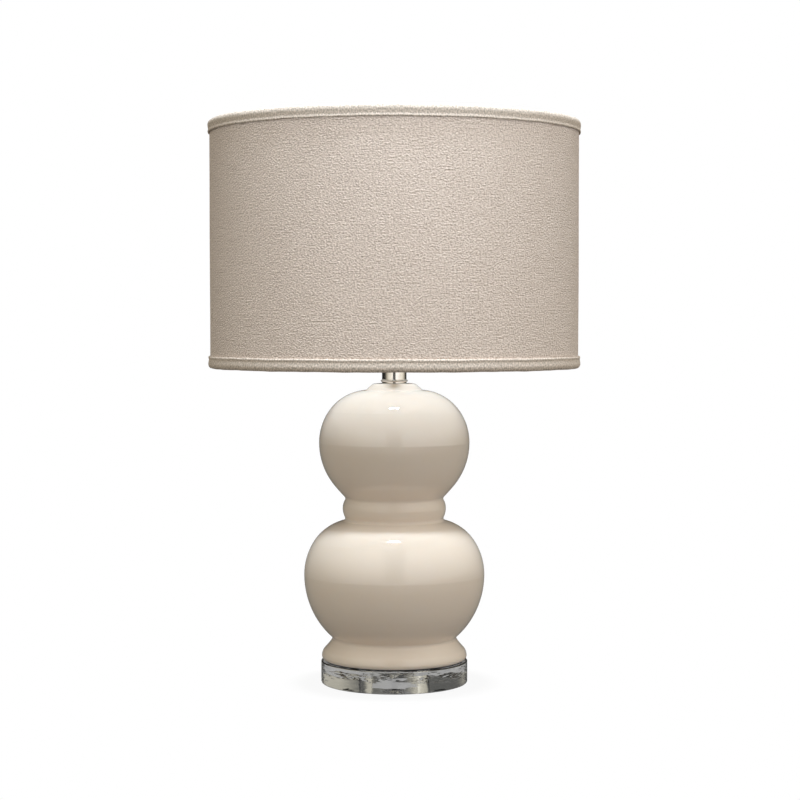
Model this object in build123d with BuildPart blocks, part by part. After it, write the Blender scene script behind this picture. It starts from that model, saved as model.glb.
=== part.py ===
from build123d import *
import os
from math import sqrt

os.makedirs("parts", exist_ok=True)

# Table lamp with a double-gourd glass body on a clear disc and a linen drum shade.
# Millimetres. The origin is on the table under the middle of the base, +Z is up,
# the front is -Y, and the cord leaves at the back, +Y.

# Clearances that several fits share
free_gap = 0.1             # between faces of pieces that come apart or turn
running_gap = 0.05         # a shaft in its own bore
assembly_gap = 0.1         # a piece dropped over another in the same assembly
cut_margin = 1.0           # how far a cutting shape runs past what it cuts

# Base disc and what is under it
pad_height = 0.8
pad_radius = 6.0
pad_circle_radius = 60.0
pad_count = 4
base_thickness = 23.2
base_lip = 0.7             # how far the base stands out past the glass foot
base_edge_round = 2.0
base_top_round = 1.2
recess_radius = 24.5
recess_roof_thickness = 5.0
cord_hole_radius = 4.2
cord_hole_height = 9.2     # above the underside of the disc
grommet_bore_radius = 3.3
grommet_length = 9.0
grommet_flange_radius = 5.6
grommet_flange_thickness = 1.2
base_washer_radius = 15.5
base_washer_thickness = 2.0
lock_washer_radius = 8.4
lock_washer_thickness = 1.2
lock_washer_slit = 1.5
pipe_nut_across_flats = 16.0
pipe_nut_thickness = 4.0
nut_edge_chamfer = 0.6

# Threaded pipe, 1/8 IP
pipe_radius = 5.0
pipe_bore_radius = 3.4
pipe_stub = 2.5            # pipe below the bottom nut

# Gasket and centring plate between the base and the glass
gasket_thickness = 1.0
gasket_width = 4.8
plate_thickness = 1.6
plate_rim_height = 3.0

# Glass body: belly and crease of each swelling, heights above the glass foot
glass_wall = 4.0
foot_belly_radius = 74.9
foot_heel_round = 3.9
waist_radius = 63.3
waist_rise = 18.6
lower_belly_radius = 93.1
lower_belly_rise = 65.4
lower_crease_radius = 49.1
lower_crease_rise = 56.0
ring_belly_radius = 53.3
ring_belly_rise = 12.6
upper_crease_radius = 49.8
upper_crease_rise = 10.0
upper_belly_radius = 77.6
upper_belly_rise = 57.6
collar_foot_radius = 29.2
collar_foot_rise = 54.2
collar_radius = 21.8
collar_height = 6.7
crease_round = 3.0
collar_round = 6.0
foot_face_width = 4.1      # flat ring that the glass foot stands on
collar_hole_radius = 12.0

# Where the arc from a belly passes into the arc from a crease: share of the way
# from belly to crease, measured across and then along the height
foot_to_waist = (0.28, 0.42)
lower_globe_to_waist = (0.31, 0.60)
lower_globe_to_crease = (0.24, 0.62)
ring_to_lower_crease = (0.23, 0.50)
ring_to_upper_crease = (0.23, 0.50)
upper_globe_to_crease = (0.59, 0.78)
upper_globe_to_collar = (0.21, 0.60)

# Neck between the glass and the harp
seat_washer_thickness = 0.5
seat_washer_radius = 12.8
neck_ring_height = 4.7
neck_ring_bead = 1.25      # how far the bead stands out past the tube
neck_bead_height = 2.6
neck_ring_spigot_length = 6.0
neck_tube_radius = 12.6
neck_tube_wall = 1.2
neck_tube_length = 17.8
tube_register_height = 1.0

# Harp saddle
strap_thickness = 1.5
strap_width = 10.0
saddle_disc_radius = 12.7
saddle_half_width = 22.5
saddle_bend_radius = 3.0
saddle_arm_height = 14.0   # up to the shoulder that the ferrule rests on
tongue_width = 4.0
tongue_length = 14.0
saddle_nut_thickness = 3.2

# Harp, ferrules and swivel stud
harp_height = 228.0        # from under the saddle to the seat of the shade
harp_wire_radius = 1.9
harp_foot_thickness = 1.5
harp_foot_length = 16.0
harp_foot_gap = 0.3        # between the saddle's shoulder and the end of the leg
harp_half_width = 52.0
harp_flare_rise = 42.0
harp_shoulder_drop = 34.0
harp_shoulder_inset = 26.0
harp_leg_bend = 14.0
harp_side_bend = 40.0
harp_top_bend = 34.0
harp_eye_radius = 6.5
ferrule_length = 12.0
ferrule_wall = 0.6
ferrule_edge_round = 0.2
ferrule_travel = 15.0      # up past the top of the tongue
stud_radius = 3.1          # 1/4-27 thread, over the crests
stud_length = 11.5
stud_tip_chamfer = 0.6
stud_flange_radius = 6.5
stud_flange_thickness = 2.0
stud_rivet_radius = 2.1
stud_rivet_head_radius = 3.8
stud_rivet_head_height = 1.4

# Lamp holder, medium screw base
cap_collar_radius = 7.4
cap_collar_height = 6.0
cap_radius = 17.6
cap_rim_height = 4.0       # straight rim that the shell sits inside
sheet_metal = 0.8
shell_height = 45.0
shell_wall = 0.5
shell_lip = 0.7
shell_lip_height = 1.4
shell_lip_round = 0.35
liner_wall = 0.8
liner_setback = 1.5
interior_height = 22.0
terminal_flat = 11.4
terminal_head_radius = 3.0
terminal_head_height = 1.8
terminal_shank_radius = 1.6
terminal_shank_length = 5.0
terminal_height = 6.0      # above the bottom of the interior block
set_screw_radius = 1.5
set_screw_length = 3.4
screw_slot = 0.8           # width and depth of the slot in a screw
screw_shell_wall = 0.45
screw_shell_height = 19.0
screw_shell_floor_hole = 6.7
contact_width = 5.0
contact_thickness = 0.5
contact_lift = 1.4
contact_bend = 1.25        # from the middle to the upper corner of the leaf's bend

# Turn knob
stem_radius = 2.0
stem_length = 24.0         # from the rotor's face to the knob's outer end
rotor_radius = 4.2
rotor_length = 6.0
rotor_depth = 10.5         # from the lamp's axis to the rotor's outer face
knob_radius = 6.2
knob_length = 13.0
knob_rib_count = 18
knob_rib_depth = 0.35
knob_edge_round = 1.0
stem_hole_radius = 3.2
stem_rise = 1.0            # from the rim of the holder's cap up to the rotor

# Bulb, medium screw base
bulb_cap_radius = 13.1
bulb_cap_height = 21.0
bulb_cap_wall = 0.4
bulb_thread_gap = 0.3      # between the bulb's cap and the holder's screw shell
bulb_rest_gap = 0.3        # between the bulb's contact and the holder's leaf
bulb_contact_radius = 4.6
bulb_contact_height = 1.0
bulb_insulator_height = 3.2
bulb_insulator_step = 1.0
bulb_neck_height = 27.0
bulb_neck_radius = 25.0
bulb_neck_flare = 1.0      # where the housing steps out over the cap
bulb_radius = 30.0
bulb_belly_rise = 28.0
bulb_wall = 1.5
board_radius = 20.0
board_thickness = 1.6
led_size = 2.8
led_height = 0.7
led_count = 12
led_circle_radius = 14.0

# Drum shade
shade_diameter = 381.0     # across the trims
shade_height = 251.0
spider_drop = 16.0         # from the rim down to the seat on the stud
trim_height = 12.3
trim_thickness = 1.6       # the outer band, folded double
trim_cap = 1.2             # over the wire ring
trim_lining = 0.8          # the band where it comes back inside
trim_lining_height = 8.5
trim_edge_round = 1.4
fabric_thickness = 0.8
liner_thickness = 0.5
ring_wire_radius = 1.5
arm_wire_radius = 1.5
arm_count = 3
arm_first_angle = 90.0
arm_bend_inset = 16.0
arm_bend_radius = 12.0
arm_slot_width = 3.8
arm_start_gap = 1.0        # between the finial's foot and the arms' inner ends
hub_radius = 14.0
hub_thickness = 1.6
hub_edge_round = 0.4
hub_hole_gap = 0.2
seam_width = 10.0
seam_thickness = 0.5

# Finial
finial_height = 21.4
finial_base_radius = 6.8
finial_neck_wall = 1.0
finial_ball_radius = 7.4
finial_insert_wall = 1.2


def turned(outline, mode=Mode.ADD):
    """Revolve an outline of (radius, height) points around the lamp's axis."""
    with BuildSketch(Plane.XZ) as profile:
        with BuildLine():
            Polyline(*outline, close=True)
        make_face()
    revolve(profile.sketch, axis=Axis.Z, mode=mode)


def tube(outer, inner, bottom, top, mode=Mode.ADD):
    """A plain ring or tube standing on the lamp's axis."""
    turned([(inner, bottom), (outer, bottom), (outer, top), (inner, top)], mode)


def disc(radius, bottom, top, mode=Mode.ADD):
    """A plain disc on the lamp's axis."""
    with BuildSketch(Plane.XY.offset(bottom)) as circle:
        Circle(radius)
    extrude(circle.sketch, amount=top - bottom, mode=mode)


def hexagon_nut(across_flats, bore, bottom, thickness):
    """A hexagon nut with its top corners chamfered off."""
    with BuildSketch(Plane.XY.offset(bottom)) as flats:
        RegularPolygon(across_flats / 2, 6, major_radius=False)
        Circle(bore, mode=Mode.SUBTRACT)
    extrude(flats.sketch, amount=thickness)
    corner = across_flats / sqrt(3) + cut_margin
    top = bottom + thickness
    turned(
        [(corner, top), (corner, top - nut_edge_chamfer), (across_flats / 2, top)],
        Mode.SUBTRACT,
    )


# Base disc: clear acrylic, open underneath for the nut and the cord
base_radius = foot_belly_radius + base_lip
foot_rim_radius = foot_belly_radius - foot_heel_round
base_bottom = pad_height
base_top = base_bottom + base_thickness
recess_roof = base_top - recess_roof_thickness
cord_hole_z = base_bottom + cord_hole_height
with BuildPart() as base_disc:
    disc(base_radius, base_bottom, base_top)
    rim_edges = base_disc.edges().filter_by(GeomType.CIRCLE).sort_by(Axis.Z)
    fillet(rim_edges[0], base_edge_round)
    fillet(base_disc.edges().filter_by(GeomType.CIRCLE).sort_by(Axis.Z)[-1], base_top_round)
    disc(recess_radius, base_bottom, recess_roof, Mode.SUBTRACT)
    disc(pipe_radius + assembly_gap, recess_roof, base_top, Mode.SUBTRACT)
    with BuildSketch(Plane.XZ) as cord_way:
        with Locations((0, cord_hole_z)):
            Circle(cord_hole_radius)
    extrude(cord_way.sketch, amount=-base_radius - cut_margin, mode=Mode.SUBTRACT)

# Clear bumpers under the base
with BuildPart() as foot_pads:
    with BuildSketch() as pad_discs:
        with PolarLocations(pad_circle_radius, pad_count, start_angle=45):
            Circle(pad_radius)
    extrude(amount=pad_height)

# Bush that guards the cord at the back of the base
with BuildPart() as cord_grommet:
    with BuildSketch(Plane.XZ.offset(-base_radius)) as bush_flange:
        with Locations((0, cord_hole_z)):
            Circle(grommet_flange_radius)
    extrude(amount=-grommet_flange_thickness)
    with BuildSketch(Plane.XZ.offset(-base_radius)) as bush_body:
        with Locations((0, cord_hole_z)):
            Circle(cord_hole_radius - running_gap)
    extrude(amount=grommet_length)
    with BuildSketch(Plane.XZ.offset(-base_radius - grommet_flange_thickness)) as bush_bore:
        with Locations((0, cord_hole_z)):
            Circle(grommet_bore_radius)
    extrude(amount=grommet_length + grommet_flange_thickness, mode=Mode.SUBTRACT)

# Washer, lock washer and nut that hold the pipe in the recess
with BuildPart() as base_washer:
    tube(base_washer_radius, pipe_radius + assembly_gap, recess_roof - base_washer_thickness, recess_roof)

lock_washer_top = recess_roof - base_washer_thickness
with BuildPart() as base_lock_washer:
    tube(
        lock_washer_radius,
        pipe_radius + assembly_gap,
        lock_washer_top - lock_washer_thickness,
        lock_washer_top,
    )
    with BuildSketch(Plane.XY.offset(lock_washer_top - lock_washer_thickness)) as slit:
        with Locations((lock_washer_radius / 2 + pipe_radius / 2, 0)):
            Rectangle(lock_washer_radius, lock_washer_slit)
    extrude(amount=lock_washer_thickness, mode=Mode.SUBTRACT)

base_nut_bottom = lock_washer_top - lock_washer_thickness - pipe_nut_thickness
with BuildPart() as base_nut:
    hexagon_nut(pipe_nut_across_flats, pipe_radius + assembly_gap, base_nut_bottom, pipe_nut_thickness)

# Thin black gasket under the glass foot
glass_bottom = base_top + gasket_thickness
gasket_inner_radius = foot_rim_radius - gasket_width
with BuildPart() as base_gasket:
    tube(foot_rim_radius, gasket_inner_radius, base_top, glass_bottom)

# Steel plate inside the gasket, with a rim that centres the open foot of the glass
foot_opening_radius = foot_rim_radius - foot_face_width
plate_radius = min(gasket_inner_radius, foot_opening_radius) - assembly_gap
with BuildPart() as centring_plate:
    disc(plate_radius, base_top, base_top + plate_rim_height)
    disc(
        plate_radius - plate_thickness,
        base_top + plate_thickness,
        base_top + plate_rim_height,
        Mode.SUBTRACT,
    )
    disc(pipe_radius + assembly_gap, base_top, base_top + plate_thickness, Mode.SUBTRACT)

# Glass body: outline from the foot to the collar, arcs between bellies and creases
foot_belly = (foot_belly_radius, glass_bottom + foot_heel_round)
waist = (waist_radius, foot_belly[1] + waist_rise)
lower_belly = (lower_belly_radius, waist[1] + lower_belly_rise)
lower_crease = (lower_crease_radius, lower_belly[1] + lower_crease_rise)
ring_belly = (ring_belly_radius, lower_crease[1] + ring_belly_rise)
upper_crease = (upper_crease_radius, ring_belly[1] + upper_crease_rise)
upper_belly = (upper_belly_radius, upper_crease[1] + upper_belly_rise)
collar_foot = (collar_foot_radius, upper_belly[1] + collar_foot_rise)
glass_top = collar_foot[1] + collar_height
collar_edge = (collar_radius, glass_top)


def globe_side(belly, crease, meeting):
    """Two tangent arcs from a belly to a crease that meet part of the way between."""
    across, along = meeting
    halfway = (
        belly[0] + (crease[0] - belly[0]) * across,
        belly[1] + (crease[1] - belly[1]) * along,
    )
    straight = (0, 1) if crease[1] > belly[1] else (0, -1)
    first = TangentArc(belly, halfway, tangent=straight)
    TangentArc(halfway, crease, tangent=first % 1)


with BuildSketch(Plane.XZ) as gourd_outline:
    with BuildLine():
        Polyline((0, glass_top), (0, glass_bottom), (foot_rim_radius, glass_bottom))
        TangentArc(foot_belly, (foot_rim_radius, glass_bottom), tangent=(0, -1))
        globe_side(foot_belly, waist, foot_to_waist)
        globe_side(lower_belly, waist, lower_globe_to_waist)
        globe_side(lower_belly, lower_crease, lower_globe_to_crease)
        globe_side(ring_belly, lower_crease, ring_to_lower_crease)
        globe_side(ring_belly, upper_crease, ring_to_upper_crease)
        globe_side(upper_belly, upper_crease, upper_globe_to_crease)
        globe_side(upper_belly, collar_foot, upper_globe_to_collar)
        Polyline(collar_foot, collar_edge, (0, glass_top))
    make_face()
    corners = gourd_outline.vertices()
    creases = [waist, lower_crease, upper_crease, collar_foot]
    fillet([corners.sort_by_distance(Vector(*crease))[0] for crease in creases], crease_round)
    fillet(gourd_outline.vertices().sort_by_distance(Vector(*collar_edge))[0], collar_round)

gourd_hollow = offset(gourd_outline.sketch, amount=-glass_wall, mode=Mode.PRIVATE)
with BuildPart() as gourd_body:
    revolve(gourd_outline.sketch, axis=Axis.Z)
    revolve(gourd_hollow, axis=Axis.Z, mode=Mode.SUBTRACT)
    disc(collar_hole_radius, glass_bottom, glass_top, Mode.SUBTRACT)
    disc(foot_opening_radius, glass_bottom, glass_bottom + glass_wall, Mode.SUBTRACT)

# Soft washer and beaded ring on the collar, then the polished neck tube
neck_ring_bottom = glass_top + seat_washer_thickness
neck_ring_top = neck_ring_bottom + neck_ring_height
neck_tube_top = neck_ring_top + neck_tube_length
bead_radius = neck_tube_radius + neck_ring_bead
bead_z = neck_ring_bottom + neck_ring_height / 2
spigot_radius = collar_hole_radius - assembly_gap
register_radius = neck_tube_radius - neck_tube_wall - assembly_gap
with BuildPart() as seat_washer:
    tube(seat_washer_radius, collar_hole_radius, glass_top, neck_ring_bottom)

with BuildPart() as neck_ring:
    with BuildSketch(Plane.XZ) as ring_profile:
        with BuildLine():
            Polyline(
                (neck_tube_radius, neck_ring_top),
                (register_radius, neck_ring_top),
                (register_radius, neck_ring_top + tube_register_height),
                (pipe_radius + assembly_gap, neck_ring_top + tube_register_height),
                (pipe_radius + assembly_gap, neck_ring_bottom - neck_ring_spigot_length),
                (spigot_radius, neck_ring_bottom - neck_ring_spigot_length),
                (spigot_radius, neck_ring_bottom),
                (neck_tube_radius, neck_ring_bottom),
                (neck_tube_radius, bead_z - neck_bead_height / 2),
            )
            ThreePointArc(
                (neck_tube_radius, bead_z - neck_bead_height / 2),
                (bead_radius, bead_z),
                (neck_tube_radius, bead_z + neck_bead_height / 2),
            )
            Line((neck_tube_radius, bead_z + neck_bead_height / 2), (neck_tube_radius, neck_ring_top))
        make_face()
    revolve(axis=Axis.Z)

with BuildPart() as neck_tube:
    tube(neck_tube_radius, neck_tube_radius - neck_tube_wall, neck_ring_top, neck_tube_top)

# Harp saddle: a bent strap with a round middle and a tongue at each end
saddle_top = neck_tube_top + strap_thickness
shoulder_z = neck_tube_top + saddle_arm_height
tongue_top = shoulder_z + tongue_length
tongue_inner_x = saddle_half_width - strap_thickness
with BuildPart() as harp_saddle:
    with BuildSketch(Plane.XZ) as strap_side:
        with BuildLine():
            FilletPolyline(
                (0, neck_tube_top),
                (saddle_half_width, neck_tube_top),
                (saddle_half_width, tongue_top),
                radius=saddle_bend_radius,
            )
            FilletPolyline(
                (0, saddle_top),
                (tongue_inner_x, saddle_top),
                (tongue_inner_x, tongue_top),
                radius=saddle_bend_radius - strap_thickness,
            )
            Line((0, neck_tube_top), (0, saddle_top))
            Line((saddle_half_width, tongue_top), (tongue_inner_x, tongue_top))
        make_face()
        mirror(about=Plane.YZ)
    extrude(amount=strap_width / 2, both=True)
    with BuildSketch(Plane.YZ) as tongue_relief:
        with Locations((0, (shoulder_z + tongue_top) / 2)):
            Rectangle(strap_width + 2 * cut_margin, tongue_length)
            Rectangle(tongue_width, tongue_length, mode=Mode.SUBTRACT)
    extrude(amount=saddle_half_width + cut_margin, both=True, mode=Mode.SUBTRACT)
    disc(saddle_disc_radius, neck_tube_top, saddle_top)
    disc(pipe_radius + assembly_gap, neck_tube_top, saddle_top, Mode.SUBTRACT)

socket_bottom = saddle_top + saddle_nut_thickness
with BuildPart() as saddle_nut:
    hexagon_nut(pipe_nut_across_flats, pipe_radius + assembly_gap, saddle_top, saddle_nut_thickness)

# Threaded pipe from under the base to the lamp holder
pipe_bottom = base_nut_bottom - pipe_stub
pipe_top = socket_bottom + cap_collar_height
with BuildPart() as lamp_pipe:
    tube(pipe_radius, pipe_bore_radius, pipe_bottom, pipe_top)

# Lamp holder cap: a turned-in collar on the pipe that opens into a cup
collar_top = socket_bottom + cap_collar_height
cap_shoulder_z = collar_top + cap_radius - cap_collar_radius
cap_top = cap_shoulder_z + cap_rim_height
shell_radius = cap_radius - sheet_metal - assembly_gap
shell_bottom = cap_shoulder_z
shell_top = shell_bottom + shell_height
stem_z = cap_top + rotor_radius + stem_rise
with BuildPart() as socket_cap:
    with BuildSketch(Plane.XZ) as cap_profile:
        with BuildLine():
            Polyline(
                (cap_radius, cap_shoulder_z),
                (cap_radius, cap_top),
                (cap_radius - sheet_metal, cap_top),
                (cap_radius - sheet_metal, cap_shoulder_z),
            )
            TangentArc(
                (cap_radius - sheet_metal, cap_shoulder_z),
                (cap_collar_radius, collar_top + sheet_metal),
                tangent=(0, -1),
            )
            Polyline(
                (cap_collar_radius, collar_top + sheet_metal),
                (pipe_radius + assembly_gap, collar_top + sheet_metal),
                (pipe_radius + assembly_gap, socket_bottom),
                (cap_collar_radius, socket_bottom),
                (cap_collar_radius, collar_top),
            )
            TangentArc(
                (cap_radius, cap_shoulder_z), (cap_collar_radius, collar_top), tangent=(0, -1)
            )
        make_face()
    revolve(axis=Axis.Z)
    with BuildSketch(Plane.XZ) as screw_way:
        with Locations((0, socket_bottom + cap_collar_height / 2)):
            Circle(set_screw_radius + running_gap)
    extrude(screw_way.sketch, amount=-cap_radius, mode=Mode.SUBTRACT)

with BuildPart() as socket_set_screw:
    with BuildSketch(Plane.XZ.offset(-pipe_radius - assembly_gap)) as screw_shank:
        with Locations((0, socket_bottom + cap_collar_height / 2)):
            Circle(set_screw_radius)
    extrude(amount=-set_screw_length)
    with BuildSketch(Plane.XZ.offset(-pipe_radius - assembly_gap - set_screw_length)) as driver_slot:
        with Locations((0, socket_bottom + cap_collar_height / 2)):
            Rectangle(2 * set_screw_radius, screw_slot)
    extrude(amount=screw_slot, mode=Mode.SUBTRACT)


def stem_hole():
    """Cut the way for the switch stem through the front wall."""
    with BuildSketch(Plane.XZ) as way:
        with Locations((0, stem_z)):
            Circle(stem_hole_radius)
    extrude(way.sketch, amount=cap_radius + cut_margin, mode=Mode.SUBTRACT)


# Outer metal shell with a rolled lip, and the card liner inside it
with BuildPart() as socket_shell:
    tube(shell_radius, shell_radius - shell_wall, shell_bottom, shell_top)
    tube(shell_radius + shell_lip, shell_radius - shell_wall, shell_top - shell_lip_height, shell_top)
    fillet(socket_shell.edges().filter_by(GeomType.CIRCLE).sort_by(SortBy.RADIUS)[-2:], shell_lip_round)
    stem_hole()

liner_radius = shell_radius - shell_wall - assembly_gap
with BuildPart() as socket_liner:
    tube(liner_radius, liner_radius - liner_wall, shell_bottom, shell_top - liner_setback)
    stem_hole()

# Moulded interior block that carries the contacts and the switch
block_radius = liner_radius - liner_wall - assembly_gap
block_bottom = shell_bottom
block_top = block_bottom + interior_height
rotor_bore_depth = rotor_depth - rotor_length - free_gap
terminal_z = block_bottom + terminal_height
with BuildPart() as socket_interior:
    disc(block_radius, block_bottom, block_top)
    for side in (1, -1):
        with BuildSketch(Plane.YZ.offset(side * terminal_flat)) as flat:
            with Locations((0, terminal_z)):
                Rectangle(2 * block_radius, 2 * (terminal_head_radius + cut_margin))
        extrude(amount=side * block_radius, mode=Mode.SUBTRACT)
        with BuildSketch(Plane.YZ.offset(side * terminal_flat)) as screw_hole:
            with Locations((0, terminal_z)):
                Circle(terminal_shank_radius + running_gap)
        extrude(amount=-side * (terminal_shank_length + running_gap), mode=Mode.SUBTRACT)
    with BuildSketch(Plane.XZ.offset(rotor_bore_depth)) as rotor_bore:
        with Locations((0, stem_z)):
            Circle(rotor_radius + running_gap)
    extrude(amount=block_radius, mode=Mode.SUBTRACT)

with BuildPart() as terminal_screws:
    for side in (1, -1):
        with BuildSketch(Plane.YZ.offset(side * terminal_flat)) as screw_head:
            with Locations((0, terminal_z)):
                Circle(terminal_head_radius)
        extrude(amount=side * terminal_head_height)
        with BuildSketch(Plane.YZ.offset(side * terminal_flat)) as shank:
            with Locations((0, terminal_z)):
                Circle(terminal_shank_radius)
        extrude(amount=-side * terminal_shank_length)
        with BuildSketch(Plane.YZ.offset(side * (terminal_flat + terminal_head_height))) as slot:
            with Locations((0, terminal_z)):
                Rectangle(2 * terminal_head_radius, screw_slot)
        extrude(amount=-side * screw_slot, mode=Mode.SUBTRACT)

screw_shell_inner = bulb_cap_radius + bulb_thread_gap
with BuildPart() as screw_shell:
    tube(
        screw_shell_inner + screw_shell_wall,
        screw_shell_inner,
        block_top,
        block_top + screw_shell_height,
    )
    tube(screw_shell_inner, screw_shell_floor_hole, block_top, block_top + screw_shell_wall)

# Springy centre contact on the block
contact_top = block_top + contact_thickness + contact_lift
with BuildPart() as centre_contact:
    with BuildSketch(Plane.XZ) as leaf:
        with BuildLine():
            Polyline(
                (-contact_width, block_top),
                (0, block_top),
                (contact_width / 2, contact_top - contact_thickness),
                (contact_width / 2, contact_top),
                (-contact_bend, block_top + contact_thickness),
                (-contact_width, block_top + contact_thickness),
                close=True,
            )
        make_face()
    extrude(amount=contact_width / 2, both=True)

# Switch: a rotor in the block, its stem, and the ribbed knob in front of the holder
rotor_plane = Plane.XZ.offset(rotor_depth)
with BuildPart() as switch_rotor:
    with BuildSketch(rotor_plane) as rotor_face:
        with Locations((0, stem_z)):
            Circle(rotor_radius)
            Circle(stem_radius, mode=Mode.SUBTRACT)
    extrude(amount=-rotor_length)

with BuildPart() as switch_stem:
    with BuildSketch(rotor_plane.offset(-rotor_length / 2)) as stem_face:
        with Locations((0, stem_z)):
            Circle(stem_radius)
    extrude(amount=stem_length + rotor_length / 2 - knob_edge_round)

with BuildPart() as switch_knob:
    knob_plane = rotor_plane.offset(stem_length - knob_length)
    with BuildSketch(knob_plane) as knob_face:
        with Locations((0, stem_z)):
            Circle(knob_radius)
    extrude(amount=knob_length)
    fillet(switch_knob.edges().filter_by(GeomType.CIRCLE).sort_by(Axis.Y)[0], knob_edge_round)
    with BuildSketch(knob_plane) as flutes:
        with Locations((0, stem_z)):
            with PolarLocations(knob_radius + knob_rib_depth, knob_rib_count):
                Circle(2 * knob_rib_depth)
    extrude(amount=knob_length, mode=Mode.SUBTRACT)
    with BuildSketch(knob_plane) as knob_bore:
        with Locations((0, stem_z)):
            Circle(stem_radius)
    extrude(amount=knob_length - knob_edge_round, mode=Mode.SUBTRACT)

# Harp: a bent wire with flattened feet beside the saddle's tongues and an eye at the top
seat_z = neck_tube_top + harp_height
flange_bottom = seat_z - stud_flange_thickness
eye_top = flange_bottom - free_gap
eye_z = eye_top - harp_wire_radius
foot_inner_x = saddle_half_width + free_gap
leg_x = foot_inner_x + harp_foot_thickness / 2
foot_bottom = shoulder_z + harp_foot_gap
foot_top = foot_bottom + harp_foot_length
leg_corner_z = foot_bottom + ferrule_length + ferrule_travel + harp_leg_bend / 2
with BuildPart() as harp_wire:
    with BuildLine() as harp_path:
        FilletPolyline(
            (leg_x, 0, foot_top - harp_wire_radius),
            (leg_x, 0, leg_corner_z),
            (harp_half_width, 0, leg_corner_z + harp_flare_rise),
            (harp_half_width, 0, eye_z - harp_shoulder_drop),
            (harp_half_width - harp_shoulder_inset, 0, eye_z),
            (harp_eye_radius / 2, 0, eye_z),
            radius=(harp_leg_bend, harp_side_bend, harp_side_bend, harp_top_bend),
        )
    with BuildSketch(Plane.XY.offset(foot_top - harp_wire_radius)) as wire_section:
        with Locations((leg_x, 0)):
            Circle(harp_wire_radius)
    sweep()
    with BuildSketch(Plane.YZ.offset(foot_inner_x)) as foot_side:
        with Locations((0, (foot_bottom + foot_top) / 2)):
            Rectangle(tongue_width, harp_foot_length)
    extrude(amount=harp_foot_thickness)
    mirror(about=Plane.YZ)
    disc(harp_eye_radius, eye_z - harp_wire_radius, eye_top)
    disc(stud_rivet_radius + running_gap, eye_z - harp_wire_radius, eye_top, Mode.SUBTRACT)

# Ferrules that lock the legs to the saddle
ferrule_x = (tongue_inner_x + foot_inner_x + harp_foot_thickness) / 2
stack_half_thickness = ferrule_x - tongue_inner_x
stack_corner = sqrt(stack_half_thickness**2 + (tongue_width / 2) ** 2)
ferrule_bore = max(stack_corner, leg_x - ferrule_x + harp_wire_radius) + free_gap
ferrules = {}
for side_name, side in (("left", -1), ("right", 1)):
    with BuildPart() as ferrule:
        with BuildSketch(Plane.XY.offset(foot_bottom)) as sleeve:
            with Locations((side * ferrule_x, 0)):
                Circle(ferrule_bore + ferrule_wall)
                Circle(ferrule_bore, mode=Mode.SUBTRACT)
        extrude(amount=ferrule_length)
        fillet(ferrule.edges().filter_by(GeomType.CIRCLE).sort_by(SortBy.RADIUS)[-2:], ferrule_edge_round)
    ferrules["ferrule_" + side_name] = ferrule

# Swivel stud: rivet head under the eye, seat for the shade, threaded end
stud_top = seat_z + stud_length
with BuildPart() as harp_stud:
    rivet_head_top = eye_z - harp_wire_radius - free_gap
    disc(stud_rivet_head_radius, rivet_head_top - stud_rivet_head_height, rivet_head_top)
    disc(stud_rivet_radius, rivet_head_top, flange_bottom)
    disc(stud_flange_radius, flange_bottom, seat_z)
    disc(stud_radius, seat_z, stud_top)
    chamfer(harp_stud.edges().sort_by(Axis.Z)[-1], stud_tip_chamfer)

# Shade frame: hub, three wires and two rings
hub_bottom = seat_z + free_gap
hub_top = hub_bottom + hub_thickness
rim_top = seat_z + spider_drop
rim_bottom = rim_top - shade_height
trim_radius = shade_diameter / 2
fabric_radius = trim_radius - trim_thickness
liner_outer = fabric_radius - fabric_thickness
ring_radius = liner_outer - liner_thickness - assembly_gap - ring_wire_radius
top_ring_z = rim_top - trim_cap - running_gap - ring_wire_radius
bottom_ring_z = rim_bottom + trim_cap + running_gap + ring_wire_radius
with BuildPart() as shade_hub:
    tube(hub_radius, stud_radius + hub_hole_gap, hub_bottom, hub_top)
    fillet(shade_hub.edges().filter_by(GeomType.CIRCLE).sort_by(SortBy.RADIUS)[-2:], hub_edge_round)


def wire_ring(height, growth=0.0, mode=Mode.ADD):
    """A ring of round wire inside the shade."""
    with BuildSketch(Plane.XZ) as section:
        with Locations((ring_radius, height)):
            Circle(ring_wire_radius + growth)
    revolve(section.sketch, axis=Axis.Z, mode=mode)


with BuildPart() as shade_top_ring:
    wire_ring(top_ring_z)
with BuildPart() as shade_bottom_ring:
    wire_ring(bottom_ring_z)

arm_start = finial_base_radius + arm_start_gap
arm_end = ring_radius
arm_low_z = hub_top + arm_wire_radius
with BuildPart() as spider_arm:
    with BuildLine() as arm_path:
        FilletPolyline(
            (arm_start, 0, arm_low_z),
            (arm_end - arm_bend_inset, 0, arm_low_z),
            (arm_end, 0, top_ring_z),
            radius=arm_bend_radius,
        )
    with BuildSketch(Plane.YZ.offset(arm_start)) as arm_section:
        with Locations((0, arm_low_z)):
            Circle(arm_wire_radius)
    sweep()
with BuildPart() as spider_arms:
    with PolarLocations(0, arm_count, start_angle=arm_first_angle):
        add(spider_arm.part)
    wire_ring(top_ring_z, running_gap, Mode.SUBTRACT)

# Shade skins: white liner, linen with a lapped seam at the back, folded trims
skin_bottom = rim_bottom + trim_cap + running_gap
skin_top = rim_top - trim_cap - running_gap
with BuildPart() as shade_liner:
    tube(liner_outer, liner_outer - liner_thickness, skin_bottom, skin_top)

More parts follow.
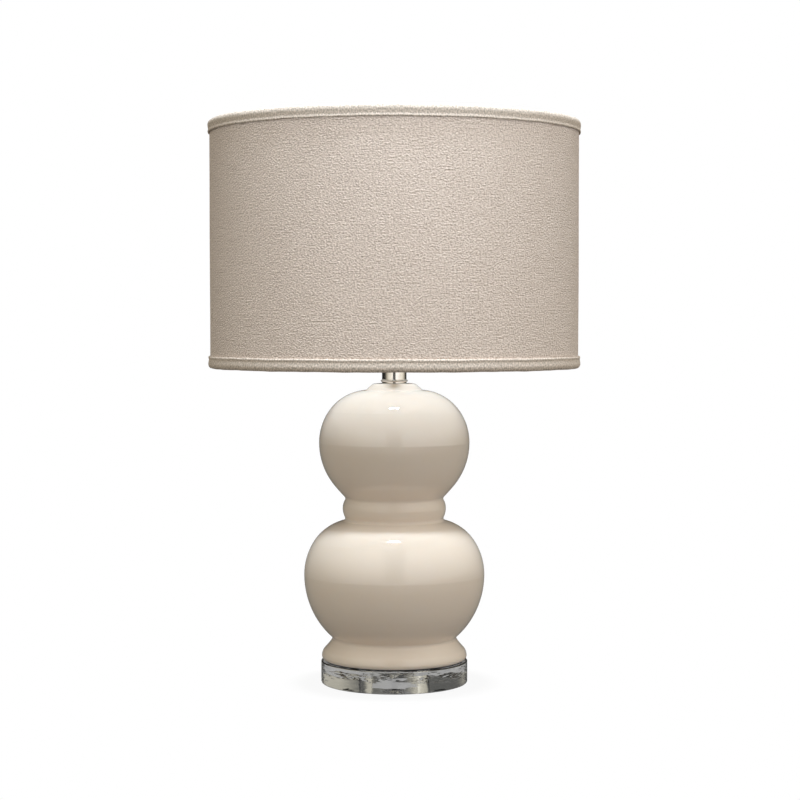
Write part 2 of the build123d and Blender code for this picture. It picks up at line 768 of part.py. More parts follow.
with BuildPart() as shade_fabric:
    tube(fabric_radius, liner_outer, skin_bottom, skin_top)
    seam_bottom = rim_bottom + trim_height + assembly_gap
    seam_top = rim_top - trim_height - assembly_gap
    with BuildSketch(Plane.XY.offset(seam_bottom)) as lap:
        Circle(fabric_radius + seam_thickness)
        Circle(fabric_radius, mode=Mode.SUBTRACT)
        with Locations((0, fabric_radius)):
            Rectangle(seam_width, seam_width, mode=Mode.INTERSECT)
    extrude(amount=seam_top - seam_bottom)


lining_radius = ring_radius - ring_wire_radius - running_gap


def trim_band(rim, inward):
    """Folded band over the ring: outer face, cap over the wire, and a lining inside."""
    outer_edge = rim + inward * trim_height
    lining_edge = rim + inward * trim_lining_height
    under_cap = rim + inward * trim_cap
    band_inner = fabric_radius + running_gap
    with BuildSketch(Plane.XZ) as section:
        with BuildLine():
            Polyline(
                (trim_radius, rim),
                (trim_radius, outer_edge),
                (band_inner, outer_edge),
                (band_inner, under_cap),
                (lining_radius, under_cap),
                (lining_radius, lining_edge),
                (lining_radius - trim_lining, lining_edge),
                (lining_radius - trim_lining, rim),
                close=True,
            )
        make_face()
        rim_corners = section.vertices().group_by(Axis.Y)[0 if inward > 0 else -1]
        fillet(rim_corners.sort_by(Axis.X)[-1], trim_edge_round)
        fillet(section.vertices().sort_by_distance(Vector(trim_radius, outer_edge))[0], trim_edge_round / 2)
    revolve(section.sketch, axis=Axis.Z)


with BuildPart() as bottom_trim:
    trim_band(rim_bottom, 1)
with BuildPart() as top_trim:
    trim_band(rim_top, -1)
    with BuildSketch(Plane.XY.offset(rim_top - trim_lining_height)) as arm_slots:
        with PolarLocations(lining_radius - trim_lining / 2, arm_count, start_angle=arm_first_angle):
            Rectangle(trim_lining + 2 * cut_margin, arm_slot_width)
    extrude(amount=trim_lining_height - trim_cap, mode=Mode.SUBTRACT)

# Finial: a threaded insert and the turned knob around it
finial_bottom = hub_top + free_gap
finial_top = finial_bottom + finial_height
insert_radius = stud_radius + running_gap + finial_insert_wall
insert_top = stud_top + free_gap
with BuildPart() as finial_insert:
    tube(insert_radius, stud_radius + running_gap, finial_bottom, insert_top)

ball_z = finial_top - finial_ball_radius
finial_neck_radius = insert_radius + running_gap + finial_neck_wall
finial_neck = (finial_neck_radius, ball_z - sqrt(finial_ball_radius**2 - finial_neck_radius**2))
with BuildPart() as finial_knob:
    with BuildSketch(Plane.XZ) as finial_profile:
        with BuildLine():
            ThreePointArc((0, finial_top), (finial_ball_radius, ball_z), finial_neck)
            Line((0, finial_top), (0, finial_bottom))
            Line((0, finial_bottom), (finial_base_radius, finial_bottom))
            TangentArc((finial_base_radius, finial_bottom), finial_neck, tangent=(0, 1))
        make_face()
    revolve(axis=Axis.Z)
    disc(insert_radius + running_gap, finial_bottom, insert_top + free_gap, Mode.SUBTRACT)

# Bulb: contact, insulator and screw cap, then the housing, its board and the diffuser
bulb_bottom = contact_top + bulb_rest_gap
insulator_bottom = bulb_bottom + bulb_contact_height
bulb_cap_bottom = insulator_bottom + bulb_insulator_height
bulb_cap_top = bulb_cap_bottom + bulb_cap_height
housing_top = bulb_cap_top + bulb_neck_height
bulb_belly_z = housing_top + bulb_belly_rise
bulb_bore = bulb_cap_radius - bulb_cap_wall
with BuildPart() as bulb_contact:
    disc(bulb_contact_radius, bulb_bottom, insulator_bottom)
    fillet(bulb_contact.edges().sort_by(Axis.Z)[0], bulb_contact_height / 2)

with BuildPart() as bulb_insulator:
    turned(
        [
            (0, insulator_bottom),
            (bulb_contact_radius + bulb_insulator_step, insulator_bottom),
            (bulb_bore - free_gap, bulb_cap_bottom - free_gap),
            (0, bulb_cap_bottom - free_gap),
        ]
    )

with BuildPart() as bulb_cap:
    tube(bulb_cap_radius, bulb_bore, bulb_cap_bottom, bulb_cap_top)
    disc(bulb_cap_radius, bulb_cap_bottom, bulb_cap_bottom + bulb_cap_wall)

with BuildPart() as bulb_housing:
    turned(
        [
            (0, bulb_cap_bottom + bulb_cap_wall + assembly_gap),
            (bulb_bore - assembly_gap, bulb_cap_bottom + bulb_cap_wall + assembly_gap),
            (bulb_bore - assembly_gap, bulb_cap_top + assembly_gap),
            (bulb_cap_radius + bulb_neck_flare, bulb_cap_top + assembly_gap),
            (bulb_neck_radius, housing_top),
            (board_radius + assembly_gap, housing_top),
            (board_radius + assembly_gap, housing_top - board_thickness),
            (0, housing_top - board_thickness),
        ]
    )

with BuildPart() as bulb_board:
    disc(board_radius, housing_top - board_thickness, housing_top)
    with BuildSketch(Plane.XY.offset(housing_top)) as leds:
        with PolarLocations(led_circle_radius, led_count):
            Rectangle(led_size, led_size)
    extrude(amount=led_height)

with BuildSketch(Plane.XZ) as diffuser_outline:
    with BuildLine():
        TangentArc((bulb_radius, bulb_belly_z), (bulb_neck_radius, housing_top), tangent=(0, -1))
        TangentArc((bulb_radius, bulb_belly_z), (0, bulb_belly_z + bulb_radius), tangent=(0, 1))
        Polyline((0, bulb_belly_z + bulb_radius), (0, housing_top), (bulb_neck_radius, housing_top))
    make_face()
diffuser_hollow = offset(diffuser_outline.sketch, amount=-bulb_wall, mode=Mode.PRIVATE)
with BuildPart() as bulb_diffuser:
    revolve(diffuser_outline.sketch, axis=Axis.Z)
    revolve(diffuser_hollow, axis=Axis.Z, mode=Mode.SUBTRACT)
    disc(bulb_wall, housing_top, bulb_belly_z + bulb_radius - bulb_wall, Mode.SUBTRACT)
    disc(board_radius + assembly_gap, housing_top, housing_top + bulb_wall, Mode.SUBTRACT)

# One file for each piece, in the order of assembly
pieces = {
    "foot_pads": foot_pads,
    "base_disc": base_disc,
    "cord_grommet": cord_grommet,
    "base_nut": base_nut,
    "base_lock_washer": base_lock_washer,
    "base_washer": base_washer,
    "lamp_pipe": lamp_pipe,
    "base_gasket": base_gasket,
    "centring_plate": centring_plate,
    "gourd_body": gourd_body,
    "seat_washer": seat_washer,
    "neck_ring": neck_ring,
    "neck_tube": neck_tube,
    "harp_saddle": harp_saddle,
    "saddle_nut": saddle_nut,
    "socket_cap": socket_cap,
    "socket_set_screw": socket_set_screw,
    "socket_shell": socket_shell,
    "socket_liner": socket_liner,
    "socket_interior": socket_interior,
    "terminal_screws": terminal_screws,
    "screw_shell": screw_shell,
    "centre_contact": centre_contact,
    "switch_rotor": switch_rotor,
    "switch_stem": switch_stem,
    "switch_knob": switch_knob,
    "harp_wire": harp_wire,
    **ferrules,
    "harp_stud": harp_stud,
    "shade_hub": shade_hub,
    "spider_arms": spider_arms,
    "shade_top_ring": shade_top_ring,
    "shade_bottom_ring": shade_bottom_ring,
    "shade_liner": shade_liner,
    "shade_fabric": shade_fabric,
    "top_trim": top_trim,
    "bottom_trim": bottom_trim,
    "finial_insert": finial_insert,
    "finial_knob": finial_knob,
    "bulb_contact": bulb_contact,
    "bulb_insulator": bulb_insulator,
    "bulb_cap": bulb_cap,
    "bulb_housing": bulb_housing,
    "bulb_board": bulb_board,
    "bulb_diffuser": bulb_diffuser,
}
for name, piece in pieces.items():
    piece.part.label = name
    export_step(piece.part, f"parts/{name}.step")
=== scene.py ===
"""Table lamp: a glossy cream double-gourd glass body on a clear disc, with a linen drum shade.

Everything is in metres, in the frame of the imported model: the table is z = 0, the front is -Y,
and the cord hole and the shade's seam are at the back, +Y.
"""

from math import cos, hypot, pi, radians, sin

import bpy
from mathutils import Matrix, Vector


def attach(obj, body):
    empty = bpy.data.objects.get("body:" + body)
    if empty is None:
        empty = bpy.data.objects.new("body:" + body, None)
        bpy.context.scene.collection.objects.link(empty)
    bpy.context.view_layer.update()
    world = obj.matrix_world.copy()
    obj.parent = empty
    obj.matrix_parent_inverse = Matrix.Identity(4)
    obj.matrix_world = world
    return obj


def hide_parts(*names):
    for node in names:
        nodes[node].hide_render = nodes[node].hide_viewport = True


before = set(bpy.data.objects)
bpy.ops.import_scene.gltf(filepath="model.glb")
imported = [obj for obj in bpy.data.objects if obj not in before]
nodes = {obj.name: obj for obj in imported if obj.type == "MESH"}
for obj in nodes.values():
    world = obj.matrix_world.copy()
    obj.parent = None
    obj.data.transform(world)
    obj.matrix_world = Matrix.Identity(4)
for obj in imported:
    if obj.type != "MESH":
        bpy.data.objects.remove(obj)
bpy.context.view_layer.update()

# The camera stands two metres in front of the lamp, a little above the waist of the body and
# tipped slightly down, with a long lens. Its place was worked out from the lamp's outlines.
camera_data = bpy.data.cameras.new("camera")
camera_data.lens = 90.87
camera_data.sensor_width = 36.0
camera_data.clip_end = 50.0
camera = bpy.data.objects.new("camera", camera_data)
camera.location = (0.0059, -2.0808, 0.377)
camera.rotation_euler = (radians(90 - 2.315), 0, 0)
bpy.context.scene.collection.objects.link(camera)
bpy.context.scene.camera = camera

# The studio: a pale table that runs on into a white wall. Seen directly both are white, but for
# the lamp's own faint shadow round its foot; as a card that throws light back, the table is grey.
bpy.context.scene.view_settings.view_transform = "Standard"


def seen_by(tree, camera_amount, gloss_amount, glass_amount):
    """An amount that depends on the ray: straight from the camera, mirrored, or through clear stuff."""
    path = tree.nodes.new("ShaderNodeLightPath")
    amount = None
    for ray, part in (("Is Camera Ray", camera_amount), ("Is Glossy Ray", gloss_amount),
                      ("Is Transmission Ray", glass_amount)):
        share = tree.nodes.new("ShaderNodeMath")
        share.operation = "MULTIPLY"
        tree.links.new(path.outputs[ray], share.inputs[0])
        if isinstance(part, float):
            share.inputs[1].default_value = part
        else:
            tree.links.new(part, share.inputs[1])
        if amount is None:
            amount = share.outputs[0]
            continue
        most = tree.nodes.new("ShaderNodeMath")
        most.operation = "MAXIMUM"
        tree.links.new(amount, most.inputs[0])
        tree.links.new(share.outputs[0], most.inputs[1])
        amount = most.outputs[0]
    return amount


def ramped(tree, value, start, end, first, last):
    """Carry a value smoothly over from one level to another."""
    slope = tree.nodes.new("ShaderNodeMapRange")
    slope.interpolation_type = "SMOOTHSTEP"
    for name, level in (("From Min", start), ("From Max", end), ("To Min", first), ("To Max", last)):
        slope.inputs[name].default_value = level
    tree.links.new(value, slope.inputs["Value"])
    return slope.outputs["Result"]


bpy.ops.object.select_all(action="DESELECT")
bpy.ops.mesh.primitive_plane_add(size=12, location=(0, 0, 0))
table = bpy.context.object
table.name = "table_top"
table_white = bpy.data.materials.new("table_white")
table.data.materials.append(table_white)
table_white.use_nodes = True
tree = table_white.node_tree
tree.nodes.clear()
table_card = tree.nodes.new("ShaderNodeBsdfDiffuse")
table_card.inputs["Color"].default_value = (0.17, 0.15, 0.13, 1)
table_glow = tree.nodes.new("ShaderNodeEmission")
table_glow.inputs["Color"].default_value = (1, 1, 1, 1)
table_place = tree.nodes.new("ShaderNodeTexCoord")
from_lamp = tree.nodes.new("ShaderNodeVectorMath")
from_lamp.operation = "LENGTH"
table_axes = tree.nodes.new("ShaderNodeSeparateXYZ")
table_mix = tree.nodes.new("ShaderNodeMixShader")
table_output = tree.nodes.new("ShaderNodeOutputMaterial")
tree.links.new(table_place.outputs["Object"], from_lamp.inputs[0])
tree.links.new(table_place.outputs["Object"], table_axes.inputs[0])
shadow_fade = ramped(tree, from_lamp.outputs["Value"], start=0.088, end=0.118, first=0.94, last=1.0)
far_front = ramped(tree, table_axes.outputs["Y"], start=-4.0, end=-0.2, first=0.8, last=0.12)
glow_level = seen_by(tree, camera_amount=1.0, gloss_amount=far_front, glass_amount=0.36)
glow_share = seen_by(tree, camera_amount=shadow_fade, gloss_amount=1.0, glass_amount=1.0)
tree.links.new(glow_level, table_glow.inputs["Strength"])
tree.links.new(glow_share, table_mix.inputs["Fac"])
tree.links.new(table_card.outputs[0], table_mix.inputs[1])
tree.links.new(table_glow.outputs[0], table_mix.inputs[2])
tree.links.new(table_mix.outputs[0], table_output.inputs["Surface"])

# The room's own light: two wide soft boxes in front, with a dark gap between them where the
# camera stands, the right one brighter. It falls off to the sides, where it is yellower, and is
# dark behind the lamp, darkest as a mirror image. A weak third soft box hangs above. Only the
# camera itself sees all of it white.
world = bpy.data.worlds.new("studio")
bpy.context.scene.world = world
world.use_nodes = True
sky = world.node_tree
sky.nodes.clear()
direction = sky.nodes.new("ShaderNodeTexCoord")
frontness = sky.nodes.new("ShaderNodeVectorMath")
frontness.operation = "DOT_PRODUCT"
frontness.inputs[1].default_value = (0.28, -0.91, 0.30)
turned = sky.nodes.new("ShaderNodeMapRange")
turned.inputs["From Min"].default_value = -1.0
turned.inputs["From Max"].default_value = 1.0
dome = sky.nodes.new("ShaderNodeValToRGB")
dome.color_ramp.interpolation = "EASE"
dome.color_ramp.elements[0].position = 0.10
dome.color_ramp.elements[0].color = (0.04, 0.04, 0.036, 1)
dome.color_ramp.elements[1].position = 1.0
dome.color_ramp.elements[1].color = (1.0, 0.975, 0.95, 1)
for place, colour in (
    (0.26, (0.30, 0.285, 0.235)),
    (0.45, (0.38, 0.36, 0.30)),
    (0.78, (0.77, 0.75, 0.66)),
):
    dome.color_ramp.elements.new(place).color = (*colour, 1)
sky_axes = sky.nodes.new("ShaderNodeSeparateXYZ")
sideways = sky.nodes.new("ShaderNodeMath")
sideways.operation = "ABSOLUTE"
sky_fill = sky.nodes.new("ShaderNodeBackground")
sky_top = sky.nodes.new("ShaderNodeBackground")
sky_seen = sky.nodes.new("ShaderNodeBackground")
sky_lit = sky.nodes.new("ShaderNodeAddShader")
sky_mix = sky.nodes.new("ShaderNodeMixShader")
sky_output = sky.nodes.new("ShaderNodeOutputWorld")
sky.links.new(direction.outputs["Generated"], frontness.inputs[0])
sky.links.new(direction.outputs["Generated"], sky_axes.inputs[0])
sky.links.new(frontness.outputs["Value"], turned.inputs["Value"])
sky.links.new(turned.outputs["Result"], dome.inputs["Fac"])
sky.links.new(dome.outputs["Color"], sky_fill.inputs["Color"])
sky.links.new(sky_axes.outputs["X"], sideways.inputs[0])
gap = ramped(sky, sideways.outputs[0], start=0.16, end=0.27, first=0.05, last=1.48)
sky_path = sky.nodes.new("ShaderNodeLightPath")
mirrored_back = sky.nodes.new("ShaderNodeMix")
mirrored_back.inputs[2].default_value = 1.0
mirrored = sky.nodes.new("ShaderNodeMath")
mirrored.operation = "SUBTRACT"
mirrored.use_clamp = True
sky.links.new(sky_path.outputs["Is Glossy Ray"], mirrored.inputs[0])
sky.links.new(sky_path.outputs["Is Transmission Ray"], mirrored.inputs[1])
sky.links.new(mirrored.outputs[0], mirrored_back.inputs[0])
darkened = ramped(sky, frontness.outputs["Value"], start=-0.5, end=0.15, first=0.02, last=1.0)
sky.links.new(darkened, mirrored_back.inputs[3])
fill_level = sky.nodes.new("ShaderNodeMath")
fill_level.operation = "MULTIPLY"
sky.links.new(gap, fill_level.inputs[0])
sky.links.new(mirrored_back.outputs[0], fill_level.inputs[1])
sky.links.new(fill_level.outputs[0], sky_fill.inputs["Strength"])
top_level = ramped(sky, sky_axes.outputs["Z"], start=0.78, end=1.0, first=0.0, last=0.5)
sky.links.new(top_level, sky_top.inputs["Strength"])
sky_seen.inputs["Color"].default_value = (1, 1, 1, 1)
sky_top.inputs["Color"].default_value = (1.0, 0.985, 0.97, 1)
white_share = seen_by(sky, camera_amount=1.0, gloss_amount=0.02, glass_amount=0.05)
sky.links.new(white_share, sky_mix.inputs["Fac"])
sky.links.new(sky_fill.outputs[0], sky_lit.inputs[0])
sky.links.new(sky_top.outputs[0], sky_lit.inputs[1])
sky.links.new(sky_lit.outputs[0], sky_mix.inputs[1])
sky.links.new(sky_seen.outputs[0], sky_mix.inputs[2])
sky.links.new(sky_mix.outputs[0], sky_output.inputs["Surface"])

# Three cool lamps. A small hard one above and a little in front shines down through the open top of
# the shade: it makes the two bright spots on the glass, and the upper globe's shadow ends it
# sharply on the lower one. A wide one in front of it softens where its light dies away on the
# glass, without a mirror image. The last is flagged so that it rakes down the cloth alone.
for name, place, aim, wide, deep, watts in (
    ("overhead", (0, -0.34, 2.4), (0, 0, 0.2), 0.36, 0.15, 38),
    ("overhead_soft", (0, -0.64, 2.3), (0, 0, 0.25), 0.50, 0.40, 6),
    ("rake", (0.08, -0.62, 1.2), (0.02, -0.19, 0.46), 0.30, 0.12, 4.9),
):
    lamp_data = bpy.data.lights.new(name, "AREA")
    lamp_data.shape = "RECTANGLE"
    lamp_data.size = wide
    lamp_data.size_y = deep
    lamp_data.energy = watts
    lamp_data.color = (0.79, 0.895, 1.0)
    lamp = bpy.data.objects.new(name, lamp_data)
    lamp.visible_glossy = name != "overhead_soft"
    lamp.location = place
    lamp.rotation_euler = (Vector(aim) - Vector(place)).to_track_quat("-Z", "Y").to_euler()
    bpy.context.scene.collection.objects.link(lamp)
raked = bpy.data.collections.new("raked_cloth")
lamp.light_linking.receiver_collection = raked
flagging = bpy.data.collections.new("rake_is_stopped_by")
lamp.light_linking.blocker_collection = flagging


# Base disc: a thick clear acrylic disc with polished sides, turned and buffed, hollowed from
# below for the nut and the cord. The CAD solid has the shape, so it keeps its mesh.
def plain_finish(name, colour, roughness, metallic=0.0):
    """A material with one shader, to which a section adds its own pattern."""
    material = bpy.data.materials.new(name)
    material.use_nodes = True
    shader = material.node_tree.nodes["Principled BSDF"]
    shader.inputs["Base Color"].default_value = (*colour, 1)
    shader.inputs["Roughness"].default_value = roughness
    shader.inputs["Metallic"].default_value = metallic
    return material, material.node_tree, shader


def noise(tree, scale, detail=4.0, squeeze=(1, 1, 1), source="Object"):
    """Noise on the piece's own coordinates, squeezed along some of them."""
    place = tree.nodes.new("ShaderNodeTexCoord")
    turn = tree.nodes.new("ShaderNodeMapping")
    turn.inputs["Scale"].default_value = squeeze
    cloud = tree.nodes.new("ShaderNodeTexNoise")
    cloud.inputs["Scale"].default_value = scale
    cloud.inputs["Detail"].default_value = detail
    tree.links.new(place.outputs[source], turn.inputs["Vector"])
    tree.links.new(turn.outputs[0], cloud.inputs["Vector"])
    return cloud.outputs["Fac"]


def relief(tree, shader, height, depth, distance=0.001):
    """Raise the surface's look by a height pattern."""
    bump = tree.nodes.new("ShaderNodeBump")
    bump.inputs["Strength"].default_value = depth
    bump.inputs["Distance"].default_value = distance
    tree.links.new(height, bump.inputs["Height"])
    tree.links.new(bump.outputs["Normal"], shader.inputs["Normal"])


def dress(node, material):
    """Give a CAD node its finish."""
    slots = nodes[node].material_slots
    for slot in slots:
        slot.material = material
    if not slots:
        nodes[node].data.materials.append(material)


acrylic, tree, shader = plain_finish("clear_acrylic", (0.95, 0.948, 0.94), 0.01)
shader.inputs["Transmission Weight"].default_value = 1.0
shader.inputs["IOR"].default_value = 1.49
polishing_waves = noise(tree, scale=1, detail=2, squeeze=(45, 45, 190))
relief(tree, shader, polishing_waves, depth=1.0, distance=0.0007)
dress("base_disc", acrylic)
dress("foot_pads", acrylic)

# Under the base: zinc plated washer, split washer and nut on the threaded pipe, and the clear
# bush that guards the cord's hole at the back. The other zinc plated pieces hold the glass and
# the lamp holder to that pipe.
NOISE_LOW, NOISE_HIGH = 0.3, 0.7


def spread(tree, value, low, high):
    """Carry a noise value over to the range from low to high."""
    span = tree.nodes.new("ShaderNodeMapRange")
    span.inputs["From Min"].default_value = NOISE_LOW
    span.inputs["From Max"].default_value = NOISE_HIGH
    span.inputs["To Min"].default_value = low
    span.inputs["To Max"].default_value = high
    tree.links.new(value, span.inputs["Value"])
    return span.outputs["Result"]


def tint(tree, value, dark, light, low=NOISE_LOW, high=NOISE_HIGH):
    """A colour between two, by a 0 to 1 value."""
    ramp = tree.nodes.new("ShaderNodeValToRGB")
    ramp.color_ramp.elements[0].position = low
    ramp.color_ramp.elements[0].color = (*dark, 1)
    ramp.color_ramp.elements[1].position = high
    ramp.color_ramp.elements[1].color = (*light, 1)
    tree.links.new(value, ramp.inputs["Fac"])
    return ramp.outputs["Color"]


zinc, tree, shader = plain_finish("zinc_plate", (0.62, 0.61, 0.58), 0.32, 1.0)
spangle = tint(tree, noise(tree, 420), dark=(0.50, 0.49, 0.46), light=(0.72, 0.71, 0.67))
tree.links.new(spangle, shader.inputs["Base Color"])
tree.links.new(spread(tree, noise(tree, 160), 0.24, 0.42), shader.inputs["Roughness"])
for node in ("base_washer", "base_lock_washer", "base_nut", "lamp_pipe", "centring_plate",
             "saddle_nut", "socket_set_screw"):
    dress(node, zinc)
bush_plastic, tree, shader = plain_finish("bush_plastic", (0.80, 0.81, 0.80), 0.25)
shader.inputs["Transmission Weight"].default_value = 0.7
dress("cord_grommet", bush_plastic)

# Gasket under the glass foot: a thin black rubber ring, pinched between glass and acrylic, that
# shows as a dark line.
rubber, tree, shader = plain_finish("black_rubber", (0.02, 0.02, 0.02), 0.6)
relief(tree, shader, noise(tree, 900), 0.3)
dress("base_gasket", rubber)

# Body: blown glass, cased in cream behind a clear, very glossy skin. The pipe draws it down on
# the base disc through the gasket and the washer on its collar.
cased_glass, tree, shader = plain_finish("cream_glass", (0.85, 0.715, 0.60), 0.3)
casing = tint(tree, noise(tree, 14, 2), dark=(0.865, 0.735, 0.63), light=(0.885, 0.755, 0.65))
tree.links.new(casing, shader.inputs["Base Color"])
shader.inputs["Specular IOR Level"].default_value = 0.0
shader.inputs["Subsurface Weight"].default_value = 0.35
shader.inputs["Subsurface Scale"].default_value = 0.010
shader.inputs["Subsurface Radius"].default_value = (1.0, 0.8, 0.65)
shader.inputs["Coat Weight"].default_value = 1.0
shader.inputs["Coat Roughness"].default_value = 0.02
dress("gourd_body", cased_glass)

# Neck: soft washer, beaded ring and tube of brass, polished and nickel plated, threaded on the
# pipe above the glass. The finial's knob has the same plating.
nickel, tree, shader = plain_finish("polished_nickel", (0.78, 0.73, 0.68), 0.08, 1.0)
tree.links.new(spread(tree, noise(tree, 300), 0.05, 0.12), shader.inputs["Roughness"])
for node in ("neck_ring", "neck_tube", "finial_knob"):
    dress(node, nickel)
washer_card, tree, shader = plain_finish("washer_card", (0.70, 0.66, 0.60), 0.7)
relief(tree, shader, noise(tree, 1500), 0.3)
dress("seat_washer", washer_card)

# Harp, saddle, ferrules, stud and lamp holder: pressed steel, satin nickel plated. The holder is
# lined with card round its moulded inside, and the bulb screws into its brass shell.
satin, tree, shader = plain_finish("satin_nickel", (0.66, 0.62, 0.57), 0.26, 1.0)
tree.links.new(spread(tree, noise(tree, 500, 4, (1, 1, 0.1)), 0.2, 0.36), shader.inputs["Roughness"])
for node in ("harp_saddle", "harp_wire", "ferrule_left", "ferrule_right", "harp_stud",
             "socket_cap", "socket_shell"):
    dress(node, satin)
card, tree, shader = plain_finish("fibre_card", (0.30, 0.22, 0.15), 0.8)
relief(tree, shader, noise(tree, 1200), 0.4)
dress("socket_liner", card)
phenolic, tree, shader = plain_finish("moulded_black", (0.02, 0.018, 0.016), 0.32)
relief(tree, shader, noise(tree, 1400), 0.1)
for node in ("socket_interior", "switch_rotor", "switch_knob", "bulb_insulator"):
    dress(node, phenolic)
brass, tree, shader = plain_finish("bright_brass", (0.80, 0.60, 0.28), 0.22, 1.0)
tree.links.new(spread(tree, noise(tree, 380), 0.16, 0.34), shader.inputs["Roughness"])
for node in ("terminal_screws", "screw_shell", "centre_contact", "switch_stem", "finial_insert",
             "bulb_contact"):
    dress(node, brass)
aluminium, tree, shader = plain_finish("pressed_aluminium", (0.80, 0.80, 0.79), 0.3, 1.0)
tree.links.new(spread(tree, noise(tree, 420), 0.22, 0.4), shader.inputs["Roughness"])
for node in ("bulb_cap", "bulb_board"):
    dress(node, aluminium)
bulb_white, tree, shader = plain_finish("bulb_white", (0.86, 0.86, 0.84), 0.4)
relief(tree, shader, noise(tree, 900), 0.06)
dress("bulb_housing", bulb_white)
milky, tree, shader = plain_finish("milky_plastic", (0.90, 0.89, 0.86), 0.35)
shader.inputs["Subsurface Weight"].default_value = 0.5
shader.inputs["Subsurface Scale"].default_value = 0.004
relief(tree, shader, noise(tree, 700), 0.05)
dress("bulb_diffuser", milky)

# Shade frame: white painted steel wires and hub, and the white styrene liner.
frame_paint, tree, shader = plain_finish("frame_paint", (0.84, 0.83, 0.80), 0.35)
relief(tree, shader, noise(tree, 600), 0.08)
for node in ("shade_hub", "spider_arms", "shade_top_ring", "shade_bottom_ring"):
    dress(node, frame_paint)
styrene, tree, shader = plain_finish("white_styrene", (0.88, 0.87, 0.84), 0.5)
relief(tree, shader, noise(tree, 250), 0.05)
dress("shade_liner", styrene)

# Shade cloth: one panel of stone coloured slub linen, laminated to the liner and rolled into a
# drum, with its end lapped over its start and glued down at the back.
SHADE_FOOT, SHADE_TOP = 0.32725, 0.57575
CLOTH_RADIUS = 0.1885
CLOTH_THICKNESS = 0.0007
CLOTH_LAP = 0.010
LAP_CLIMB = 0.004
cloth_length = 2 * pi * CLOTH_RADIUS + CLOTH_LAP
cloth_height = SHADE_TOP - SHADE_FOOT


def flat_strip(name, length, width, along, across):
    """A strip of cloth laid flat, cut into even cells, with its UVs in metres."""
    bpy.ops.object.select_all(action="DESELECT")
    bpy.ops.mesh.primitive_grid_add(x_subdivisions=along, y_subdivisions=across, size=1)
    strip = bpy.context.object
    strip.name = name
    for corner in strip.data.uv_layers.active.data:
        corner.uv = (corner.uv[0] * length, corner.uv[1] * width)
    for point in strip.data.vertices:
        point.co = ((point.co.x + 0.5) * length, (point.co.y + 0.5) * width, 0)
    return strip


def thicken(piece, thickness):
    """Give a sheet its thickness, half to each side, and smooth its faces."""
    bpy.ops.object.select_all(action="DESELECT")
    piece.select_set(True)
    bpy.context.view_layer.objects.active = piece
    bpy.ops.object.shade_smooth()
    wall = piece.modifiers.new("thickness", "SOLIDIFY")
    wall.thickness = thickness
    wall.offset = 0
    bpy.ops.object.modifier_apply(modifier=wall.name)


def lapped(run, lap, lift):
    """How far the end of a rolled strip is lifted, where it climbs onto its own start."""
    climb = min(max((run + lap) / LAP_CLIMB, 0), 1)
    return lift * climb * climb * (3 - 2 * climb)


cloth = flat_strip("shade_linen", cloth_length, cloth_height, along=384, across=40)
for point in cloth.data.vertices:
    run, height = point.co.x, point.co.y
    turn = pi / 2 - (run - CLOTH_LAP / 2) / CLOTH_RADIUS
    ripple = 0.00008 * sin(9 * turn + 21 * height) + 0.00006 * sin(23 * turn - 40 * height + 1)
    radius = CLOTH_RADIUS + ripple + lapped(run - cloth_length, CLOTH_LAP, CLOTH_THICKNESS)
    point.co = (radius * cos(turn), radius * sin(turn), SHADE_FOOT + height)
thicken(cloth, CLOTH_THICKNESS)


def blend_of(tree, one, other, share):
    """Two 0 to 1 patterns mixed, the other by its share."""
    mixed = tree.nodes.new("ShaderNodeMix")
    mixed.inputs[0].default_value = share
    tree.links.new(one, mixed.inputs[2])
    tree.links.new(other, mixed.inputs[3])
    return mixed.outputs[0]


linen, tree, shader = plain_finish("slub_linen", (0.56, 0.50, 0.45), 0.9)
lumps = noise(tree, scale=1, detail=4, squeeze=(500, 640, 1), source="UV")
weft = noise(tree, scale=1, detail=2, squeeze=(30, 700, 1), source="UV")
warp = noise(tree, scale=1, detail=2, squeeze=(900, 40, 1), source="UV")
yarn = blend_of(tree, blend_of(tree, lumps, weft, share=0.16), warp, share=0.08)
stone = tint(tree, yarn, dark=(0.49, 0.385, 0.32), light=(0.91, 0.785, 0.695), low=0.34, high=0.66)
tree.links.new(stone, shader.inputs["Base Color"])
relief(tree, shader, yarn, depth=1.0, distance=0.002)
shader.inputs["Sheen Weight"].default_value = 0.25
shader.inputs["Sheen Roughness"].default_value = 0.5
cloth.data.materials.append(linen)
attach(cloth, "shade")
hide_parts("shade_fabric")
raked.objects.link(cloth)
flagging.objects.link(cloth)

# Trims: linen tape folded over the top and bottom rings, its raw edge turned under outside, and
# glued. It runs round once, with its end lapped over its start at the back. Each point of the
# fold's path is its radius and its depth from the rim.
TRIM_WAY = [(0.18930, 0.0060), (0.18930, 0.0105), (0.18935, 0.0117), (0.18970, 0.0123), (0.19015, 0.0122),
            (0.19040, 0.0116), (0.19040, 0.0108), (0.19000, 0.0100), (0.18985, 0.0091), (0.19010, 0.0076),
            (0.19045, 0.0056), (0.19050, 0.0040), (0.19010, 0.0024), (0.18925, 0.0011), (0.18800, 0.0005),
            (0.18660, 0.0004), (0.18530, 0.0007), (0.18440, 0.0018), (0.18405, 0.0035), (0.18405, 0.0085)]
TRIM_THICKNESS = 0.0007
TAPE_RADIUS = 0.190
TOP_RIM, BOTTOM_RIM = 0.5779, 0.326
tape_stations = [0.0]
for (r0, d0), (r1, d1) in zip(TRIM_WAY, TRIM_WAY[1:]):
    tape_stations.append(tape_stations[-1] + hypot(r1 - r0, d1 - d0))
tape_width = tape_stations[-1]
tape_length = 2 * pi * TAPE_RADIUS + CLOTH_LAP


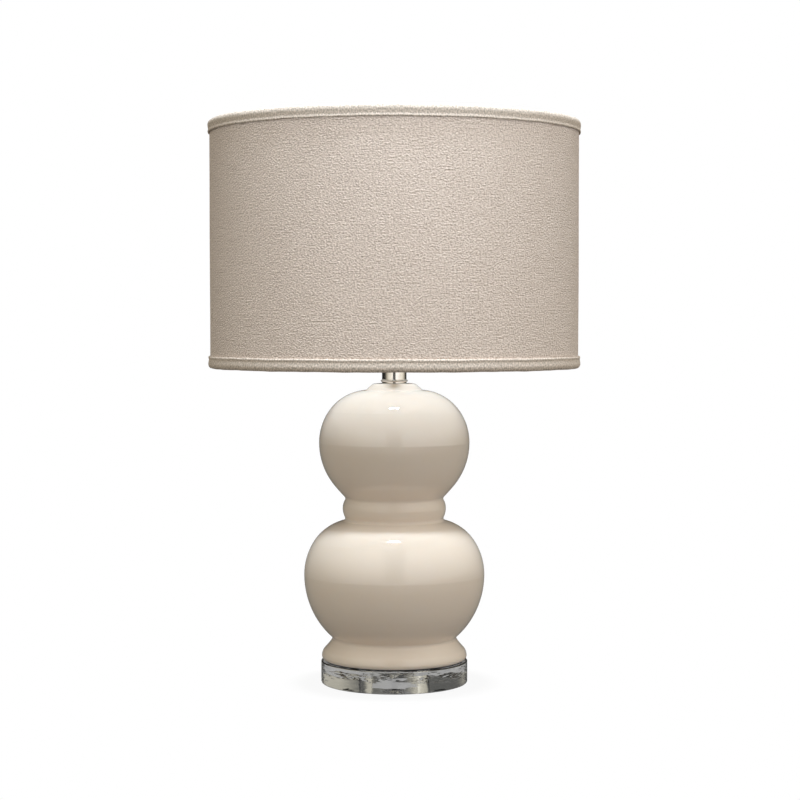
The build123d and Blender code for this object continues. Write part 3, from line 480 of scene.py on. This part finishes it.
def fold_tape(name, rim, inward, seed):
    """One tape round a rim: rim is the height of the fold, inward the way to the shade's middle."""
    tape = flat_strip(name, tape_length, tape_width, along=480, across=36)
    for point in tape.data.vertices:
        run, reach = point.co.x, point.co.y
        step = max(i for i, station in enumerate(tape_stations[:-1]) if station <= reach + 1e-9)
        part = (reach - tape_stations[step]) / (tape_stations[step + 1] - tape_stations[step])
        (r0, d0), (r1, d1) = TRIM_WAY[step], TRIM_WAY[step + 1]
        radius, depth = r0 + (r1 - r0) * part, d0 + (d1 - d0) * part
        turn = pi / 2 - (run - CLOTH_LAP / 2) / TAPE_RADIUS
        wave = sin(13 * turn + seed) + 0.7 * sin(31 * turn + 2 * seed) + 0.5 * sin(57 * turn + 3 * seed)
        pull = sin(90 * turn + 400 * depth + seed) * max(0, sin(3 * turn + seed)) ** 6
        radius += 0.00008 * wave + 0.00012 * pull + lapped(run - tape_length, CLOTH_LAP, TRIM_THICKNESS)
        depth += 0.00012 * wave
        point.co = (radius * cos(turn), radius * sin(turn), rim + inward * depth)
    if inward > 0:
        bpy.ops.object.mode_set(mode="EDIT")
        bpy.ops.mesh.select_all(action="SELECT")
        bpy.ops.mesh.flip_normals()
        bpy.ops.object.mode_set(mode="OBJECT")
    thicken(tape, TRIM_THICKNESS)
    tape.data.materials.append(tape_linen)
    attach(tape, "shade")
    return tape


tape_linen, tree, shader = plain_finish("tape_linen", (0.50, 0.455, 0.40), 0.85)
ribs = noise(tree, scale=1, detail=2, squeeze=(620, 480, 1), source="UV")
band = tint(tree, ribs, dark=(0.40, 0.345, 0.29), light=(0.84, 0.725, 0.63))
tree.links.new(band, shader.inputs["Base Color"])
relief(tree, shader, ribs, depth=0.8, distance=0.0006)
for node, rim, inward, ring, seed in (
    ("top_trim", TOP_RIM, -1, "shade_top_ring", 1.0),
    ("bottom_trim", BOTTOM_RIM, 1, "shade_bottom_ring", 2.6),
):
    tape = fold_tape(node + "_tape", rim, inward, seed)
    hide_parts(node)
    raked.objects.link(tape)
